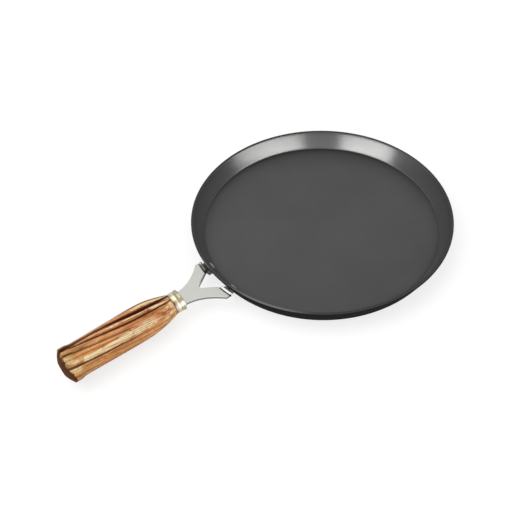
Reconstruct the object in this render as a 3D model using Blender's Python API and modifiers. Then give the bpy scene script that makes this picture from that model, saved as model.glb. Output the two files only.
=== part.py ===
"""Tawa, a shallow griddle pan 26 cm across: a pressed pan of hard-anodised aluminium, a forked steel bracket
held to its wall by two rivets, and a fluted wooden grip. A long screw from the grip's rear end draws the grip
and its ferrule against the bracket.

Metres, +Z up. The origin is the centre of the pan's underside, and the handle points along -X.
Heights are above the underside. Distances called x run out along the handle from the face of the pads.
"""

from math import asin, cos, pi, radians, sin, sqrt, tan

import bmesh
import bpy
from mathutils import Matrix, Vector

# Clearance between pieces that touch on the real object, and the chamfer on small edges
FIT = 0.0003
CHAMFER = 0.0004
# How far a cutter runs past the face that it opens
PAST = 0.002

# Pan
RIM_RADIUS = 0.130
PAN_DEPTH = 0.018
SHEET = 0.00325
WALL_FLARE = radians(24)
FLOOR_FILLET = 0.004
RIM_ROUND = 0.0013
PAN_STEPS = 96

# Handle line: its height at the pads, and its rise away from the pan
AXIS_HEIGHT = 0.0147
HANDLE_RISE = radians(1.7)

# Fork bracket
PLATE = 0.0026
PLATE_EDGE = 0.0004
FORK_REACH = 0.0361
FOOT_OUTER = 0.0256
FOOT_SIDE = 0.0024
CROTCH = 0.0163
CROTCH_ANGLE = radians(35)
CROTCH_ROUND = 0.0022
NECK_WIDTH = 0.0166
PAD = 0.0042
PAD_INSET = 0.0006
PAD_TAPER = 0.0048
PAD_BOTTOM = 0.0052
PAD_TOP = 0.0176
PAD_CORNER = 0.0026
LIP_GAP = 0.0024
LIP_DEPTH = 0.0034
BEND_LINE_WIDTH = 0.0012
BEND_LINE_DEPTH = 0.0013
TANG_WIDTH = 0.010
TANG_LENGTH = 0.012
BOSS_RADIUS = 0.0042
BOSS_LENGTH = 0.020

# Rivets
RIVET_OFFSET = 0.0176
RIVET_HEIGHT = 0.0118
RIVET_RADIUS = 0.0024
RIVET_HEAD_RADIUS = 0.0040
RIVET_HEAD_HEIGHT = 0.0012
RIVET_TAIL_RADIUS = 0.0032
RIVET_TAIL_HEIGHT = 0.0012

# Ferrule: an oval collar, so its heights are its widths times OVAL
FERRULE_RADIUS = 0.0105
FERRULE_WALL = 0.0009
FERRULE_FACE = 0.0012
FERRULE_LENGTH = 0.0096
FLANGE = 0.0007
BEAD = 0.00045
BEAD_PLACE = 0.55
OVAL = 0.84

# Grip
GRIP_LENGTH = 0.1094
NECK_RADIUS = 0.0108
BELLY_RADIUS = 0.0161
WAIST_RADIUS = 0.0152
POMMEL_RADIUS = 0.0161
BELLY_PLACE = 0.35
POMMEL_LENGTH = 0.0108
POMMEL_EDGE = 0.001
DOME_HEIGHT = 0.0054
FLUTE_DEPTH = 0.0013
FLUTE_RUN_IN = 0.016
# Share of the length over which a short flute dies out, and share of the space between two flutes' middles
# that either of them may take
FLUTE_FADE = 0.15
FLUTE_SPACE = 0.42
GRIP_RINGS = 15

# Each flute's angle in degrees about the handle, from the top towards -Y, at four shares of the length from the
# rear end. Then how much of the length it runs, its half width in degrees, and its depth at the neck.
FLUTE_PLACES = (0.0, 0.4, 0.75, 1.0)
FLUTES = (
    (-38, -22, -1, -22, 1.00, 9.0, 1.6),
    (-18, 7, 20, 8, 1.00, 7.0, 1.2),
    (4, 29, 42, 44, 0.50, 7.0, 1.0),
    (26, 41, 56, 60, 0.42, 6.0, 1.0),
    (44, 66, 76, 78, 0.60, 7.0, 1.0),
    (66, 84, 96, 100, 0.70, 6.5, 0.8),
    (92, 108, 122, 128, 0.94, 8.5, 1.0),
    (120, 136, 150, 155, 1.00, 8.5, 0.9),
    (148, 164, 179, 182, 1.00, 8.5, 1.1),
    (176, 192, 208, 209, 0.96, 8.5, 1.0),
    (204, 220, 236, 236, 1.00, 8.5, 1.0),
    (232, 248, 265, 264, 0.92, 8.5, 0.9),
    (260, 276, 293, 291, 1.00, 8.5, 1.1),
    (288, 304, 322, 318, 1.00, 8.5, 1.0),
)

# Tie screw and washer
SCREW_RADIUS = 0.0025
SCREW_HEAD_RADIUS = 0.0046
SCREW_HEAD_HEIGHT = 0.0030
HEX_RADIUS = 0.0023
HEX_DEPTH = 0.0016
THREAD_LENGTH = 0.014
WASHER_RADIUS = 0.0060
WASHER_THICKNESS = 0.001
COUNTERBORE_DEPTH = 0.0100

# Worked out from the values above
RIM_HEIGHT = SHEET + PAN_DEPTH
CORNER_TURN = pi / 2 - WALL_FLARE
WALL_TOP_RADIUS = RIM_RADIUS + RIM_ROUND * (1 / tan(CORNER_TURN / 2) - 1)


def wall_outer(height):
    """Radius of the straight stretch of the outer wall, whose rounded top reaches RIM_RADIUS."""
    return WALL_TOP_RADIUS - (RIM_HEIGHT - height) * tan(WALL_FLARE)


def wall_inner(height):
    return wall_outer(height) - SHEET / cos(WALL_FLARE)


PAD_FACE = wall_outer(AXIS_HEIGHT) + (FIT + PAD) / cos(WALL_FLARE)
FOOT_INNER = (CROTCH + PAD / 2) * tan(CROTCH_ANGLE)
RIVET_ANGLE = asin(RIVET_OFFSET / wall_outer(RIVET_HEIGHT))
SHOULDER = FORK_REACH + FERRULE_FACE
TENON_END = SHOULDER + FIT
TANG_END = SHOULDER + TANG_LENGTH
BOSS_START = TANG_END - 0.4 * TANG_LENGTH
BOSS_END = BOSS_START + BOSS_LENGTH
TENON_RADIUS = FERRULE_RADIUS - FERRULE_WALL - FIT
GRIP_START = FORK_REACH + FERRULE_LENGTH + FIT
GRIP_END = GRIP_START + GRIP_LENGTH
DOME_START = GRIP_END - DOME_HEIGHT
NOTCH = DOME_START - POMMEL_LENGTH
SEAT = GRIP_END - COUNTERBORE_DEPTH
WASHER_REAR = SEAT + FIT + WASHER_THICKNESS
HEAD_FRONT = WASHER_REAR + FIT
BORE_RADIUS = SCREW_RADIUS + FIT
COUNTERBORE_RADIUS = WASHER_RADIUS + 2 * FIT


def clear_scene():
    for thing in list(bpy.data.objects):
        bpy.data.objects.remove(thing, do_unlink=True)


def new_collection(name):
    collection = bpy.data.collections.new(name)
    bpy.context.scene.collection.children.link(collection)
    return collection


def material(name, colour, roughness, metallic):
    made = bpy.data.materials.new(name)
    made.use_nodes = True
    shader = made.node_tree.nodes["Principled BSDF"]
    shader.inputs["Base Color"].default_value = (*colour, 1.0)
    shader.inputs["Roughness"].default_value = roughness
    shader.inputs["Metallic"].default_value = metallic
    return made


def add_object(name, mesh, collection, finish=None, parent=None):
    thing = bpy.data.objects.new(name, mesh)
    collection.objects.link(thing)
    thing.parent = parent
    if finish:
        mesh.materials.append(finish)
    else:
        thing.hide_render = True
        thing.display_type = "WIRE"
    return thing


def turned(name, profile, steps, collection, finish=None, parent=None):
    """A solid turned about local Z from (radius, height) points. They start and end on the axis, or form a
    closed ring, and run down the outer side."""
    mesh = bpy.data.meshes.new(name)
    points = [(radius, 0.0, height) for radius, height in profile]
    edges = [(i, i + 1) for i in range(len(points) - 1)]
    if profile[0][0] > 0.0:
        edges.append((len(points) - 1, 0))
    mesh.from_pydata(points, edges, [])
    thing = add_object(name, mesh, collection, finish, parent)
    screw = thing.modifiers.new("Turn", "SCREW")
    screw.steps = steps
    screw.render_steps = steps
    screw.use_merge_vertices = True
    screw.merge_threshold = 0.00001
    screw.use_smooth_shade = True
    return thing


def along_handle(thing, flatten=1.0):
    """Lays a turned solid along the handle, and flattens it from above."""
    thing.rotation_euler = (0.0, pi / 2, 0.0)
    thing.scale = (flatten, 1.0, 1.0)
    return thing


def plate(name, outline, thickness, collection, finish=None, parent=None):
    """A flat outline in local X and Y, drawn as a filled 2-D curve, thickened equally to both sides and then
    made a mesh so that it can be cut and joined."""
    curve = bpy.data.curves.new(name, "CURVE")
    curve.dimensions = "2D"
    curve.fill_mode = "BOTH"
    curve.extrude = thickness / 2
    spline = curve.splines.new("POLY")
    spline.points.add(len(outline) - 1)
    for point, (x, y) in zip(spline.points, outline):
        point.co = (x, y, 0.0, 1.0)
    spline.use_cyclic_u = True
    drawn = bpy.data.objects.new(name + "_outline", curve)
    collection.objects.link(drawn)
    graph = bpy.context.evaluated_depsgraph_get()
    mesh = bpy.data.meshes.new_from_object(drawn.evaluated_get(graph))
    welded = bmesh.new()
    welded.from_mesh(mesh)
    bmesh.ops.remove_doubles(welded, verts=welded.verts, dist=0.000001)
    bmesh.ops.dissolve_limit(welded, angle_limit=radians(0.1), verts=welded.verts, edges=welded.edges)
    bmesh.ops.recalc_face_normals(welded, faces=welded.faces)
    welded.to_mesh(mesh)
    welded.free()
    mesh.shade_smooth()
    mesh.set_sharp_from_angle(angle=radians(40))
    thing = add_object(name, mesh, collection, finish, parent)
    thing.matrix_world = drawn.matrix_world if parent is None else parent.matrix_world
    bpy.data.objects.remove(drawn, do_unlink=True)
    return thing


def box(name, low, high, collection, parent=None):
    """A cutter between two corners."""
    low = Vector(low)
    high = Vector(high)
    shape = bmesh.new()
    bmesh.ops.create_cube(shape, size=1.0)
    bmesh.ops.scale(shape, vec=high - low, verts=shape.verts)
    bmesh.ops.translate(shape, vec=(low + high) / 2, verts=shape.verts)
    mesh = bpy.data.meshes.new(name)
    shape.to_mesh(mesh)
    shape.free()
    return add_object(name, mesh, collection, parent=parent)


def combine(thing, other, operation="DIFFERENCE"):
    step = thing.modifiers.new(other.name, "BOOLEAN")
    step.object = other
    step.operation = operation
    step.solver = "EXACT"


def arc(centre, radius, start, end, count):
    """Points along an arc, both ends included."""
    turns = [start + (end - start) * i / count for i in range(count + 1)]
    return [(centre[0] + radius * cos(t), centre[1] + radius * sin(t)) for t in turns]


def ease(value):
    """0 below 0, 1 above 1, and a smooth step between."""
    value = min(1.0, max(0.0, value))
    return value * value * (3.0 - 2.0 * value)


# Pan: one sheet, its floor, wall and rounded rim in one profile
def pan_profile():
    half = tan(CORNER_TURN / 2)
    outer_fillet = FLOOR_FILLET + SHEET
    inner_centre = wall_inner(SHEET) - FLOOR_FILLET * half
    outer_centre = wall_outer(0.0) - outer_fillet * half
    rim_inner = wall_inner(RIM_HEIGHT) + RIM_ROUND * half
    rim_outer = RIM_RADIUS - RIM_ROUND
    rim_centre = RIM_HEIGHT - RIM_ROUND
    points = [(0.0, SHEET)]
    points += arc((inner_centre, SHEET + FLOOR_FILLET), FLOOR_FILLET, -pi / 2, -WALL_FLARE, 4)
    points += arc((rim_inner, rim_centre), RIM_ROUND, pi - WALL_FLARE, pi / 2, 3)
    points += arc((rim_outer, rim_centre), RIM_ROUND, pi / 2, -WALL_FLARE, 4)
    points += arc((outer_centre, outer_fillet), outer_fillet, -WALL_FLARE, -pi / 2, 6)
    points.append((0.0, 0.0))
    return points


# Fork bracket: two arms round a rounded V, a neck and a tang, all cut from one plate
def fork_outline():
    root = NECK_WIDTH / 2
    side = FOOT_OUTER
    corner = FOOT_SIDE
    flank = []
    for i in range(13):
        part = i / 12
        flank.append((FORK_REACH * (1 - part) + corner * part, root + (side - root) * part * part))
    foot_radius = PAD_FACE - PAD / 2
    foot = []
    for i in range(5):
        across = side + (FOOT_INNER - side) * i / 4
        foot.append((sqrt(foot_radius * foot_radius - across * across) - PAD_FACE, across))
    centre = CROTCH - CROTCH_ROUND / sin(CROTCH_ANGLE)
    crotch = arc((centre, 0.0), CROTCH_ROUND, pi / 2 - CROTCH_ANGLE, 0.0, 4)
    half = [(TANG_END, TANG_WIDTH / 2), (SHOULDER, TANG_WIDTH / 2), (SHOULDER, root)]
    half += flank + foot + crotch
    return half + [(x, -y) for x, y in reversed(half[:-1])]


def beside_wall(offset, height):
    """Radius at a distance from the outer wall."""
    return wall_outer(height) + offset / cos(WALL_FLARE)


def cone(name, offset, collection, low=-PAN_DEPTH / 2):
    """A solid that follows the outer wall at a distance from it, from a height up."""
    high = 1.5 * RIM_HEIGHT
    profile = [(0.0, high), (beside_wall(offset, high), high), (beside_wall(offset, low), low), (0.0, low)]
    return turned(name, profile, 2 * PAN_STEPS, collection)


def bend_line(collection):
    """A ring that cuts the shallow line between the arms and their pads."""
    low = AXIS_HEIGHT + PLATE / 2 - BEND_LINE_DEPTH
    high = low + BEND_LINE_DEPTH + PAST
    near = FIT + PAD - CHAMFER
    far = FIT + PAD + BEND_LINE_WIDTH
    corners = [(far, high), (far, low), (near, low), (near, high)]
    profile = [(beside_wall(offset, height), height) for offset, height in corners]
    return turned("bend_line", profile, PAN_STEPS, collection)


def pad_block(name, side, face, lip_gap, hole, collection):
    """A drilled block with rounded corners that reaches into the pan, narrower at the bottom. Its outer face
    follows the wall, and its top is a lip that stands clear of the rim."""
    outer = FOOT_OUTER - PAD_INSET
    low = (FOOT_INNER + PAD_CORNER, PAD_BOTTOM + PAD_CORNER)
    high = PAD_TOP - PAD_CORNER / 2
    corners = arc(low, PAD_CORNER, pi, 1.5 * pi, 3)
    corners += arc((outer - PAD_TAPER - PAD_CORNER, low[1]), PAD_CORNER, -pi / 2, 0.0, 3)
    corners += arc((outer - PAD_CORNER / 2, high), PAD_CORNER / 2, 0.0, pi / 2, 3)
    corners += arc((FOOT_INNER + PAD_CORNER / 2, high), PAD_CORNER / 2, pi / 2, pi, 3)
    block = plate(name, [(side * y, z) for y, z in corners], 8 * PAD, collection)
    block.location = (-PAD_FACE, 0.0, 0.0)
    block.rotation_euler = (pi / 2, 0.0, pi / 2)
    combine(block, face, "INTERSECT")
    combine(block, lip_gap)
    combine(block, hole)
    return block


def on_wall(thing, side):
    """Puts a turned solid's origin on the inner wall at a rivet, with local Z out through the wall."""
    turn = pi + side * RIVET_ANGLE
    outward = Vector((cos(turn), sin(turn), 0.0))
    normal = outward * cos(WALL_FLARE) - Vector((0.0, 0.0, sin(WALL_FLARE)))
    thing.location = outward * wall_inner(RIVET_HEIGHT) + Vector((0.0, 0.0, RIVET_HEIGHT))
    thing.rotation_euler = normal.to_track_quat("Z", "Y").to_euler()
    return thing


def domed(radius, height, base, way, count=5):
    """Points of a shallow dome, from its edge to its tip."""
    sphere = (radius * radius + height * height) / (2 * height)
    reach = asin(min(1.0, radius / sphere))
    points = []
    for i in range(count + 1):
        turn = reach * (1 - i / count)
        points.append((sphere * sin(turn), base + way * (height - sphere + sphere * cos(turn))))
    points[-1] = (0.0, base + way * height)
    return points


def rivet_profile():
    """Head inside the pan, at negative heights, and tail on the pad's face."""
    tail = SHEET + 2 * FIT + PAD
    points = list(reversed(domed(RIVET_TAIL_RADIUS, RIVET_TAIL_HEIGHT - CHAMFER, tail + CHAMFER, 1)))
    points += [(RIVET_TAIL_RADIUS, tail), (RIVET_RADIUS, tail), (RIVET_RADIUS, -FIT)]
    points.append((RIVET_HEAD_RADIUS, -FIT))
    points += domed(RIVET_HEAD_RADIUS, RIVET_HEAD_HEIGHT - CHAMFER, -FIT - CHAMFER, -1)
    return points


# Ferrule: a flange that meets the neck, a raised bead half-way, and a wall over the grip's tenon
def ferrule_profile():
    inner = FERRULE_RADIUS - FERRULE_WALL
    front = FORK_REACH
    rear = FORK_REACH + FERRULE_LENGTH
    bead = front + BEAD_PLACE * FERRULE_LENGTH
    turns = [pi / 2 - pi * i / 4 for i in range(5)]
    points = [(0.0, front + FERRULE_FACE), (inner, front + FERRULE_FACE), (inner, rear)]
    points += [(FERRULE_RADIUS - CHAMFER / 2, rear), (FERRULE_RADIUS, rear - CHAMFER / 2)]
    points += [(FERRULE_RADIUS + BEAD * cos(t), bead + 2 * BEAD * sin(t)) for t in turns]
    points += [(FERRULE_RADIUS + FLANGE * cos(t), front + FLANGE + FLANGE * sin(t)) for t in turns[:-1]]
    points += [(FERRULE_RADIUS - CHAMFER / 2, front), (0.0, front)]
    return points


# Grip: rings of points carried along the handle, each flute with its own row of points
def grip_radius(x):
    belly = GRIP_START + BELLY_PLACE * GRIP_LENGTH
    if x < belly:
        part = (x - GRIP_START) / (belly - GRIP_START)
        return NECK_RADIUS + (BELLY_RADIUS - NECK_RADIUS) * (1 - (1 - part) ** 2.5)
    if x < NOTCH:
        return BELLY_RADIUS + (WAIST_RADIUS - BELLY_RADIUS) * ease((x - belly) / (NOTCH - belly))
    return WAIST_RADIUS + (POMMEL_RADIUS - WAIST_RADIUS) * ease((x - NOTCH) / (0.5 * POMMEL_LENGTH))


def grip_stations():
    """Each ring's place, radius, flatness and flute strength."""
    rings = [
        (TENON_END, TENON_RADIUS - CHAMFER, OVAL, 0.0),
        (TENON_END + CHAMFER, TENON_RADIUS, OVAL, 0.0),
        (GRIP_START, TENON_RADIUS, OVAL, 0.0),
        (GRIP_START, NECK_RADIUS - CHAMFER, OVAL, 0.0),
    ]
    body = NOTCH - GRIP_START
    places = [GRIP_START + body * (i / GRIP_RINGS) ** 1.35 for i in range(1, GRIP_RINGS + 1)]
    places = [GRIP_START + CHAMFER] + places
    places += [NOTCH + POMMEL_LENGTH * part for part in (0.12, 0.25, 0.38, 0.52, 0.72, 0.88)]
    for x in places:
        flat = OVAL + (1 - OVAL) * ease((x - GRIP_START) / (0.25 * GRIP_LENGTH))
        rings.append((x, grip_radius(x), flat, ease((x - GRIP_START) / FLUTE_RUN_IN)))
    edge = POMMEL_RADIUS - POMMEL_EDGE
    rings.append((DOME_START - 0.3 * POMMEL_EDGE, POMMEL_RADIUS - 0.3 * POMMEL_EDGE, 1.0, 1.0))
    for part in (1.0, 0.86, 0.70, 0.52, 0.2):
        rings.append((DOME_START + DOME_HEIGHT * (1 - part * part), edge * part, 1.0, ease(2 * part - 0.9)))
    return rings


def flute_angles(t):
    """The angle of each flute's middle, on the cubic through its four given angles."""
    weights = []
    for here in FLUTE_PLACES:
        weight = 1.0
        for other in FLUTE_PLACES:
            if other != here:
                weight *= (t - other) / (here - other)
        weights.append(weight)
    return [radians(sum(weight * angle for weight, angle in zip(weights, row))) for row in FLUTES]


def grip_ring(x, radius, flat, strength):
    t = (DOME_START - min(DOME_START, max(GRIP_START, x))) / (DOME_START - GRIP_START)
    angles = flute_angles(t)
    after = angles[1:] + [angles[0] + 2 * pi]
    before = [angles[-1] - 2 * pi] + angles[:-1]
    halves = [
        min(radians(row[5]), FLUTE_SPACE * (later - angle), FLUTE_SPACE * (angle - earlier))
        for row, earlier, angle, later in zip(FLUTES, before, angles, after)
    ]
    ring = []
    for i, row in enumerate(FLUTES):
        reach, widest, neck_depth = row[4:]
        half = halves[i]
        running = 1 - ease((t - reach) / FLUTE_FADE) if reach < 1 else 1.0
        depth = FLUTE_DEPTH * strength * running * (1 + (neck_depth - 1) * ease(t))
        depth *= half / radians(widest)
        ridge = (angles[i] + half + after[i] - halves[(i + 1) % len(FLUTES)]) / 2
        for turn, share in ((-half, 0.0), (-0.5 * half, 0.62), (0.0, 1.0), (0.5 * half, 0.62), (half, 0.0)):
            ring.append((angles[i] + turn, radius - depth * share))
        ring.append((ridge, radius))
    return [(x, r * sin(turn), flat * r * cos(turn)) for turn, r in ring]


def grip_mesh():
    rings = [grip_ring(*station) for station in grip_stations()]
    around = len(rings[0])
    points = [point for ring in rings for point in ring]
    faces = [list(range(around))]
    for k in range(len(rings) - 1):
        for j in range(around):
            a = k * around + j
            b = k * around + (j + 1) % around
            faces.append((a, a + around, b + around, b))
    tip = len(points)
    points.append((GRIP_END, 0.0, 0.0))
    last = (len(rings) - 1) * around
    for j in range(around):
        faces.append((last + (j + 1) % around, last + j, tip))
    mesh = bpy.data.meshes.new("grip")
    mesh.from_pydata(points, [], faces)
    mesh.shade_smooth()
    return mesh


# Tie screw: button head, plain shank and a tip in the bracket's boss
def screw_profile():
    tip = BOSS_END - THREAD_LENGTH
    rear = HEAD_FRONT + SCREW_HEAD_HEIGHT
    flat = 0.66 * SCREW_HEAD_RADIUS
    round_height = 0.65 * SCREW_HEAD_HEIGHT
    points = [(0.0, rear)]
    for i in range(5):
        turn = pi / 2 * (1 - i / 4)
        points.append((
            flat + (SCREW_HEAD_RADIUS - flat) * cos(turn),
            rear - round_height + round_height * sin(turn),
        ))
    points += [(SCREW_HEAD_RADIUS, HEAD_FRONT), (SCREW_RADIUS, HEAD_FRONT)]
    points += [(SCREW_RADIUS, tip + CHAMFER), (SCREW_RADIUS - CHAMFER, tip), (0.0, tip)]
    return points


clear_scene()
tawa = new_collection("tawa")
helpers = new_collection("helpers")
helpers.hide_render = True

anodised = material("hard_anodised_aluminium", (0.09, 0.09, 0.09), 0.42, 0.6)
satin_steel = material("satin_steel", (0.62, 0.62, 0.60), 0.34, 1.0)
bright_steel = material("bright_steel", (0.75, 0.74, 0.68), 0.15, 1.0)
turned_wood = material("wood", (0.45, 0.19, 0.08), 0.5, 0.0)
zinc_steel = material("zinc_steel", (0.55, 0.56, 0.58), 0.3, 1.0)

# An empty that carries the handle: x outwards along it, z up
handle = bpy.data.objects.new("handle_line", None)
tawa.objects.link(handle)
handle.matrix_world = Matrix((
    (-cos(HANDLE_RISE), 0.0, sin(HANDLE_RISE), -PAD_FACE),
    (0.0, -1.0, 0.0, 0.0),
    (sin(HANDLE_RISE), 0.0, cos(HANDLE_RISE), AXIS_HEIGHT),
    (0.0, 0.0, 0.0, 1.0),
))

hole_end = SHEET + 2 * FIT + PAD + PAST
hole = [(0.0, hole_end), (RIVET_RADIUS + FIT, hole_end), (RIVET_RADIUS + FIT, -2 * PAST), (0.0, -2 * PAST)]
rivet_holes = [
    on_wall(turned("rivet_hole_" + name, hole, 24, helpers), side)
    for name, side in (("left", 1), ("right", -1))
]

pan = turned("pan", pan_profile(), PAN_STEPS, tawa, anodised)
for cutter in rivet_holes:
    combine(pan, cutter)

bracket = plate("fork_bracket", fork_outline(), PLATE, tawa, satin_steel, handle)
rounding = bracket.modifiers.new("Edges", "BEVEL")
rounding.width = PLATE_EDGE
rounding.segments = 2
rounding.limit_method = "ANGLE"
rounding.angle_limit = radians(60)
combine(bracket, bend_line(helpers))
pad_face = cone("pad_face", FIT + PAD, helpers)
lip_gap = cone("lip_gap", FIT + LIP_GAP, helpers, PAD_TOP - LIP_DEPTH)
for name, side, cutter in (("left_pad", -1, rivet_holes[0]), ("right_pad", 1, rivet_holes[1])):
    combine(bracket, pad_block(name, side, pad_face, lip_gap, cutter, helpers), "UNION")
boss_shape = [(0.0, BOSS_END), (BOSS_RADIUS - CHAMFER, BOSS_END), (BOSS_RADIUS, BOSS_END - CHAMFER)]
boss_shape += [(BOSS_RADIUS, BOSS_START + CHAMFER), (BOSS_RADIUS - CHAMFER, BOSS_START), (0.0, BOSS_START)]
boss = along_handle(turned("boss", boss_shape, 24, helpers, parent=handle))
combine(bracket, boss, "UNION")
combine(bracket, cone("wall_clearance", FIT, helpers))
thread_start = BOSS_END - THREAD_LENGTH - CHAMFER
thread_end = BOSS_END + PAST
thread = [(0.0, thread_end), (BORE_RADIUS, thread_end), (BORE_RADIUS, thread_start), (0.0, thread_start)]
combine(bracket, along_handle(turned("tapped_hole", thread, 20, helpers, parent=handle)))

for name, side in (("rivet_left", 1), ("rivet_right", -1)):
    on_wall(turned(name, rivet_profile(), 24, tawa, bright_steel), side)

ferrule = along_handle(turned("ferrule", ferrule_profile(), 40, tawa, bright_steel, handle), OVAL)
slot_half = NECK_WIDTH / 2 + FIT
slot_low = (FORK_REACH - PAST, -slot_half, -PLATE / 2 - FIT)
slot_high = (SHOULDER + PAST, slot_half, PLATE / 2 + FIT)
combine(ferrule, box("neck_slot", slot_low, slot_high, helpers, handle))

grip = add_object("grip", grip_mesh(), tawa, turned_wood, handle)
bore = [(0.0, GRIP_END + PAST), (COUNTERBORE_RADIUS, GRIP_END + PAST), (COUNTERBORE_RADIUS, SEAT)]
bore += [(BORE_RADIUS, SEAT), (BORE_RADIUS, BOSS_END + FIT), (BOSS_RADIUS + FIT, BOSS_END + FIT)]
bore += [(BOSS_RADIUS + FIT, TENON_END - PAST), (0.0, TENON_END - PAST)]
combine(grip, along_handle(turned("grip_bore", bore, 30, helpers, parent=handle)))
tang_half = TANG_WIDTH / 2 + FIT
tang_low = (TENON_END - PAST, -tang_half, -PLATE / 2 - FIT)
tang_high = (TANG_END + FIT, tang_half, PLATE / 2 + FIT)
combine(grip, box("tang_slot", tang_low, tang_high, helpers, handle))

tie_screw = along_handle(turned("tie_screw", screw_profile(), 24, tawa, zinc_steel, handle))
hex_start = HEAD_FRONT + SCREW_HEAD_HEIGHT - HEX_DEPTH
hex_end = HEAD_FRONT + SCREW_HEAD_HEIGHT + PAST
hexagon = [(0.0, hex_end), (HEX_RADIUS, hex_end), (HEX_RADIUS, hex_start), (0.0, hex_start)]
combine(tie_screw, along_handle(turned("hex_socket", hexagon, 6, helpers, parent=handle)))

washer_shape = [(WASHER_RADIUS, WASHER_REAR), (WASHER_RADIUS, SEAT + FIT)]
washer_shape += [(BORE_RADIUS, SEAT + FIT), (BORE_RADIUS, WASHER_REAR)]
along_handle(turned("washer", washer_shape, 32, tawa, zinc_steel, handle))
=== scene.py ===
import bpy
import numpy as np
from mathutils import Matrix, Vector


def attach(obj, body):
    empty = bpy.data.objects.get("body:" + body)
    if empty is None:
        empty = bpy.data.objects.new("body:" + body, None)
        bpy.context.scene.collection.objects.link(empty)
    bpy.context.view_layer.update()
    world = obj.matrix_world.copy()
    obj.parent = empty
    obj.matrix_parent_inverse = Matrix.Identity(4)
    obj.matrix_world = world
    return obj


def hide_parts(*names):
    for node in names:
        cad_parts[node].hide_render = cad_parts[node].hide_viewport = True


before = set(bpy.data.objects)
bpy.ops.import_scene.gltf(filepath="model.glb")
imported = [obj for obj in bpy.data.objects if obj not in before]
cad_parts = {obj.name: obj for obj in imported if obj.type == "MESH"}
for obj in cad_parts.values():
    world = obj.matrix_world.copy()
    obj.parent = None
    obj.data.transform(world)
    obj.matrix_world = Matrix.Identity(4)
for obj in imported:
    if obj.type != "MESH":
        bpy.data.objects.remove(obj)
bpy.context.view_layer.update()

# %% [markdown]
# # A tawa and its fluted wooden grip
# A tawa is a shallow pan for flat bread. This one is a pressed pan of dark anodised aluminium, with
# a forked steel bracket riveted to its wall, a polished collar and a carved wooden grip. The solid
# model is loaded above and fixes every size. This file gives each piece its surface: what is round
# or carved gets a fine surface worked out with numpy, and every piece gets a finish made of shader
# nodes. Lengths are in metres, and angles are in radians unless a comment says degrees.

# %% [markdown]
# ## Surfaces from grids
# A round piece could be modelled by hand, or turned by a Screw modifier. Here it is a grid of
# points: one row for each step along its profile and one column for each step round it.
# Neighbouring points become four-sided faces. Where a row shrinks to a single point, as in the
# middle of a pan, its faces become triangles, so that nothing is left open. This way was chosen
# because each point can also carry numbers for the finish, such as how near it is to the rim.

# %% Which points share a face
same_place = 1e-7


def faces_between(grid, ring):
    """Each face joins point (row, column) to its neighbours in the next row and column. The last
    column joins the first, and so does the last row when ring is set. The faces point outwards
    when the sum of a . (b x c) + a . (c x d), six times the volume inside, is above 0."""
    rows, columns = grid.shape[:2]
    index = np.arange(rows * columns).reshape(rows, columns)
    for end in (0, -1):
        if np.ptp(grid[end], axis=0).max() < same_place:
            index[end] = index[end, 0]
    upper = index if ring else index[:-1]
    lower = np.roll(index, -1, 0) if ring else index[1:]
    quads = np.stack([upper, np.roll(upper, -1, 1), np.roll(lower, -1, 1), lower], -1)
    quads = quads.reshape(-1, 4)
    a, b, c, d = (grid.reshape(-1, 3)[quads[:, i]] for i in range(4))
    volume = (a * (np.cross(b, c) + np.cross(c, d))).sum()
    return quads if volume > 0 else quads[:, ::-1]


print("points closer than", same_place, "m count as one")

# %% From a grid to a piece


def skin(name, grid, ring=False, **fields):
    """Makes a piece of the grid's faces. Each field is one number or vector for each point, kept
    as an attribute for the finish to read."""
    quads = faces_between(grid, ring)
    kept = quads != np.roll(quads, -1, 1)
    sides = kept.sum(1)
    used, loops = np.unique(quads[kept], return_inverse=True)
    mesh = bpy.data.meshes.new(name)
    mesh.vertices.add(len(used))
    mesh.vertices.foreach_set("co", grid.reshape(-1, 3)[used].ravel())
    mesh.loops.add(len(loops))
    mesh.loops.foreach_set("vertex_index", loops.ravel())
    mesh.polygons.add(len(sides))
    mesh.polygons.foreach_set("loop_start", np.concatenate([[0], np.cumsum(sides)[:-1]]))
    mesh.polygons.foreach_set("loop_total", sides)
    mesh.update(calc_edges=True)
    mesh.validate()
    mesh.shade_smooth()
    for label, values in fields.items():
        is_vector = np.ndim(values) == 3
        values = np.broadcast_to(values, grid.shape if is_vector else grid.shape[:2])
        values = values.reshape(-1, 3 if is_vector else 1)[used].astype(np.float32)
        layer = mesh.attributes.new(label, "FLOAT_VECTOR" if is_vector else "FLOAT", "POINT")
        layer.data.foreach_set("vector" if is_vector else "value", values.ravel())
    piece = bpy.data.objects.new(name, mesh)
    bpy.context.scene.collection.objects.link(piece)
    print(f"{name}: {len(used)} points, {len(sides)} faces")
    return piece


# %% Lines and bends of a profile
quarter = np.pi / 2


def bend(centre, radius, start, end, count):
    """An arc of a circle in the profile's plane: centre + radius (cos a, sin a)."""
    turn = np.linspace(start, end, count)
    return np.stack([centre[0] + radius * np.cos(turn), centre[1] + radius * np.sin(turn)], -1)


def run(start, end, count):
    """Evenly spaced points on the line between two points of the profile, without the ends."""
    share = np.linspace(0, 1, count + 2)[1:-1, None]
    return np.asarray(start) * (1 - share) + np.asarray(end) * share


def round_angles(count):
    """Evenly spaced angles once round, without the last, which is the first again."""
    return np.linspace(0, 4 * quarter, count, endpoint=False)


print("a quarter bend of four points:", np.round(bend((0, 0), 1, 0, quarter, 4), 2).tolist())

# %% Curves of a field


def rising(value, start, length):
    """0 up to start, 1 from start + length on, and straight between."""
    return np.clip((value - start) / length, 0, 1)


def ease(value):
    """0 below 0, 1 above 1, and 3 v^2 - 2 v^3 between."""
    value = np.clip(value, 0, 1)
    return value * value * (3 - 2 * value)


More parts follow.
